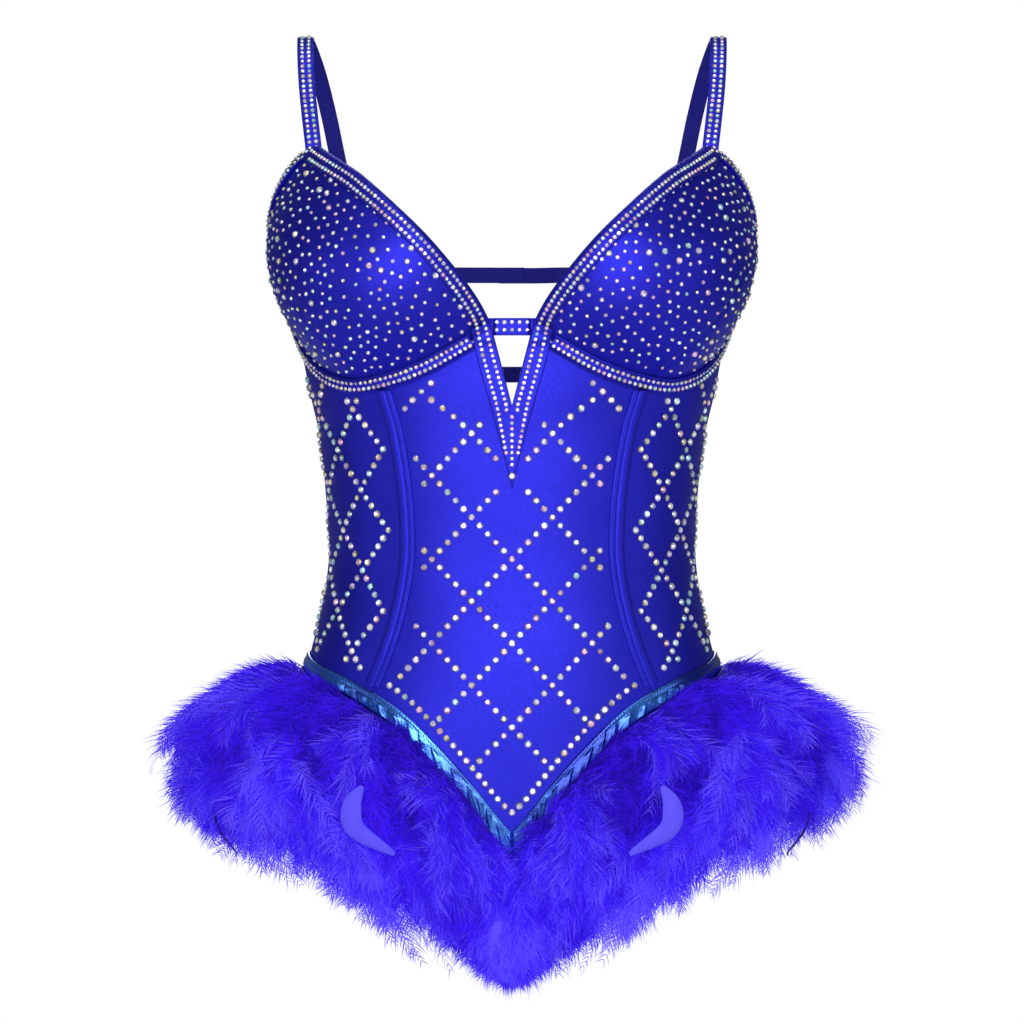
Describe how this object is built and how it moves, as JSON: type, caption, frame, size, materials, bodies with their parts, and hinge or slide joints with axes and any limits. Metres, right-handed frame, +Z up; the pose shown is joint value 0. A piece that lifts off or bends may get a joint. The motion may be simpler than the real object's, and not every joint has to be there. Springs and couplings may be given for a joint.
{
  "type": "gymnastics leotard",
  "caption": "Boned sleeveless leotard with moulded cups, V front, shoulder straps, back straps with press studs, foil hip ribbon and a feather trim.",
  "frame": {"origin": "centre of the waist, at the height of its narrowest ring", "axes": "+X to the wearer's left, -Y out of the front, +Z up towards the shoulders"},
  "size_m": [0.4922, 0.3034, 0.6482],
  "materials": {
    "satin": "bright royal blue stretch satin, soft sheen",
    "mesh_lining": "matt power mesh lining",
    "cup_foam": "matt moulded wadding",
    "foil_ribbon": "crinkled metallic blue foil ribbon",
    "feather": "fluffy violet-blue dyed feathers",
    "steel": "polished nickel steel",
    "coated_metal": "blue nylon-coated metal",
    "crystal": "foil-backed faceted glass stones with a pale rainbow coat",
    "thread": "blue sewing thread"
  },
  "bodies": {
    "bodice": {"front_centre_panel": "satin", "left_side_panel": "satin", "left_back_panel": "satin", "right_side_panel": "satin", "right_back_panel": "satin", "front_lining": "mesh_lining", "left_cup_cover": "satin", "left_cup_foam": "cup_foam", "left_underwire": "steel", "left_underwire_casing": "satin", "left_neckline_binding": "satin", "left_armhole_binding": "satin", "right_cup_cover": "satin", "right_cup_foam": "cup_foam", "right_underwire": "steel", "right_underwire_casing": "satin", "right_neckline_binding": "satin", "right_armhole_binding": "satin", "front_v_trim": "satin", "front_bridge_strap": "satin", "left_bone": "steel", "left_bone_channel": "satin", "right_bone": "steel", "right_bone_channel": "satin", "front_brief": "satin", "back_brief": "satin", "gusset": "satin", "left_leg_elastic": "satin", "right_leg_elastic": "satin", "left_ribbon": "foil_ribbon", "left_feathers_front": "feather", "left_feathers_front_mid": "feather", "left_feathers_hip": "feather", "left_feathers_back_hip": "feather", "left_feathers_back": "feather", "right_ribbon": "foil_ribbon", "right_feathers_front": "feather", "right_feathers_front_mid": "feather", "right_feathers_hip": "feather", "right_feathers_back_hip": "feather", "right_feathers_back": "feather", "upper_back_strap": "satin", "upper_strap_end": "satin", "upper_stud": "steel", "lower_back_strap": "satin", "lower_strap_end": "satin", "lower_stud": "steel", "left_shoulder_strap": "satin", "left_strap_ring": "steel", "left_ring_tab": "satin", "right_shoulder_strap": "satin", "right_strap_ring": "steel", "right_ring_tab": "satin"},
    "upper_flap": {"upper_strap_flap": "satin", "upper_socket": "steel"},
    "lower_flap": {"lower_strap_flap": "satin", "lower_socket": "steel"},
    "left_slider": {"left_strap_slider": "coated_metal"},
    "right_slider": {"right_strap_slider": "coated_metal"}
  },
  "joints": [
    {"name": "upper_strap_closure", "type": "hinge", "parent": "bodice", "child": "upper_flap", "pos_m": [0.0906, 0.0875, 0.186], "axis": [0, 0, -1], "range_deg": [0, 80]},
    {"name": "lower_strap_closure", "type": "hinge", "parent": "bodice", "child": "lower_flap", "pos_m": [0.09201, 0.08431, 0.116], "axis": [0, 0, -1], "range_deg": [0, 80]},
    {"name": "left_strap_adjust", "type": "slide", "parent": "bodice", "child": "left_slider", "axis": [0.1878, -0.2733, 0.9434], "range_m": [0, 0.038]},
    {"name": "right_strap_adjust", "type": "slide", "parent": "bodice", "child": "right_slider", "axis": [-0.1878, -0.2733, 0.9434], "range_m": [0, 0.038]}
  ]
}
